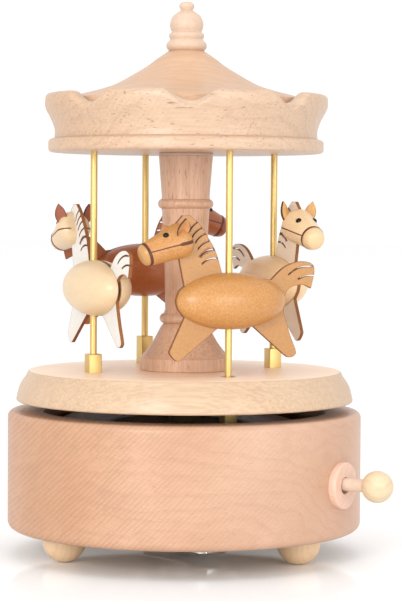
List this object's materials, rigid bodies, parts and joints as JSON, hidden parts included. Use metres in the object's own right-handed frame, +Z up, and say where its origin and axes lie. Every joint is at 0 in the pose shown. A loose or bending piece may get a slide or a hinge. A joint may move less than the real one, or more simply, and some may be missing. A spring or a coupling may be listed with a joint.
{
  "type": "carousel music box",
  "caption": "Wind-up wooden music box: a drum with a pull-and-push stop knob turns a canopied carousel whose horses rise and fall on brass poles.",
  "frame": {"origin": "on the carousel's axis, in the plane that the feet stand on", "axes": "+Z up along the carousel's axis; +X along the stop knob, away from the drum"},
  "size_m": [0.1332, 0.115, 0.1795],
  "materials": {
    "beech": "clear satin varnish over fine beech grain",
    "canopy_beech": "clear satin varnish",
    "turned_maple": "smooth satin varnish",
    "plywood": "raw sanded ply",
    "brass": "satin brass",
    "steel": "brushed",
    "zinc": "die cast, matt",
    "spring_steel": "blued",
    "grey_card": "matt grey fibre sheet",
    "honey_stain": "stained and varnished",
    "natural_wood": "clear varnish",
    "chestnut_stain": "stained and varnished",
    "pale_wood": "clear varnish",
    "ear_leather": "brown, dark edges"
  },
  "bodies": {
    "base": {"drum": "beech", "base_plate": "plywood", "feet": "turned_maple", "knob_washer": "turned_maple", "bedplate": "zinc", "movement_screws": "steel", "comb": "steel", "comb_screws": "steel", "cylinder_bracket": "zinc", "governor_frame": "zinc", "bearing_bridge": "zinc", "cam_ring": "grey_card", "cam_posts": "plywood"},
    "carousel": {"spring_barrel": "brass", "mainspring": "spring_steel", "drive_post": "brass", "drive_hub": "brass", "hub_screws": "steel", "turntable": "beech", "column": "beech", "column_collar": "canopy_beech", "canopy_rim": "beech", "canopy_roof": "canopy_beech", "finial": "canopy_beech"},
    "winder": {"winding_arbor": "steel", "winding_key": "steel"},
    "stop_control": {"stop_knob": "turned_maple", "stop_dowel": "turned_maple", "stop_wire": "steel"},
    "cylinder": {"music_cylinder": "brass", "cylinder_arbor": "brass", "cylinder_gear": "brass"},
    "idler": {"idler_arbor": "brass"},
    "governor": {"governor_fan": "steel"},
    "horse_1": {"pole_1": "brass", "guide_block_1": "brass", "horse_profile_1": "honey_stain", "horse_flanks_1": "honey_stain", "horse_head_1": "honey_stain", "horse_ears_1": "ear_leather"},
    "horse_2": {"pole_2": "brass", "guide_block_2": "brass", "horse_profile_2": "natural_wood", "horse_flanks_2": "natural_wood", "horse_head_2": "natural_wood", "horse_ears_2": "ear_leather"},
    "horse_3": {"pole_3": "brass", "guide_block_3": "brass", "horse_profile_3": "chestnut_stain", "horse_flanks_3": "chestnut_stain", "horse_head_3": "chestnut_stain", "horse_ears_3": "ear_leather"},
    "horse_4": {"pole_4": "brass", "guide_block_4": "brass", "horse_profile_4": "pale_wood", "horse_flanks_4": "pale_wood", "horse_head_4": "pale_wood", "horse_ears_4": "ear_leather"}
  },
  "joints": [
    {"name": "carousel_spin", "type": "hinge", "parent": "base", "child": "carousel", "pos_m": [0, 0, 0], "axis": [0, 0, 1], "continuous": true},
    {"name": "horse_lift_1", "type": "slide", "parent": "carousel", "child": "horse_1", "axis": [0, 0, 1], "range_m": [0, 0.00806]},
    {"name": "horse_lift_2", "type": "slide", "parent": "carousel", "child": "horse_2", "axis": [0, 0, 1], "range_m": [-0.00465, 0.00345]},
    {"name": "horse_lift_3", "type": "slide", "parent": "carousel", "child": "horse_3", "axis": [0, 0, 1], "range_m": [-0.00806, 0]},
    {"name": "horse_lift_4", "type": "slide", "parent": "carousel", "child": "horse_4", "axis": [0, 0, 1], "range_m": [-0.00345, 0.00465]},
    {"name": "key_wind", "type": "hinge", "parent": "base", "child": "winder", "pos_m": [0, 0, 0], "axis": [0, 0, -1], "range_deg": [0, 1170]},
    {"name": "stop_push", "type": "slide", "parent": "base", "child": "stop_control", "axis": [-1, 0, 0], "range_m": [0, 0.0045]},
    {"name": "cylinder_spin", "type": "hinge", "parent": "base", "child": "cylinder", "pos_m": [0, 0, 0.0281], "axis": [1, 0, 0], "continuous": true},
    {"name": "idler_spin", "type": "hinge", "parent": "base", "child": "idler", "pos_m": [0.0378, 0.0073, 0.0281], "axis": [1, 0, 0], "continuous": true},
    {"name": "governor_spin", "type": "hinge", "parent": "base", "child": "governor", "pos_m": [0.0384, 0.013, 0.0281], "axis": [0, 0, 1], "continuous": true}
  ],
  "couplings": [
    {"joint": "cylinder_spin", "follows": "carousel_spin", "ratio": 3},
    {"joint": "idler_spin", "follows": "carousel_spin", "ratio": -10.5},
    {"joint": "governor_spin", "follows": "carousel_spin", "ratio": 231}
  ]
}
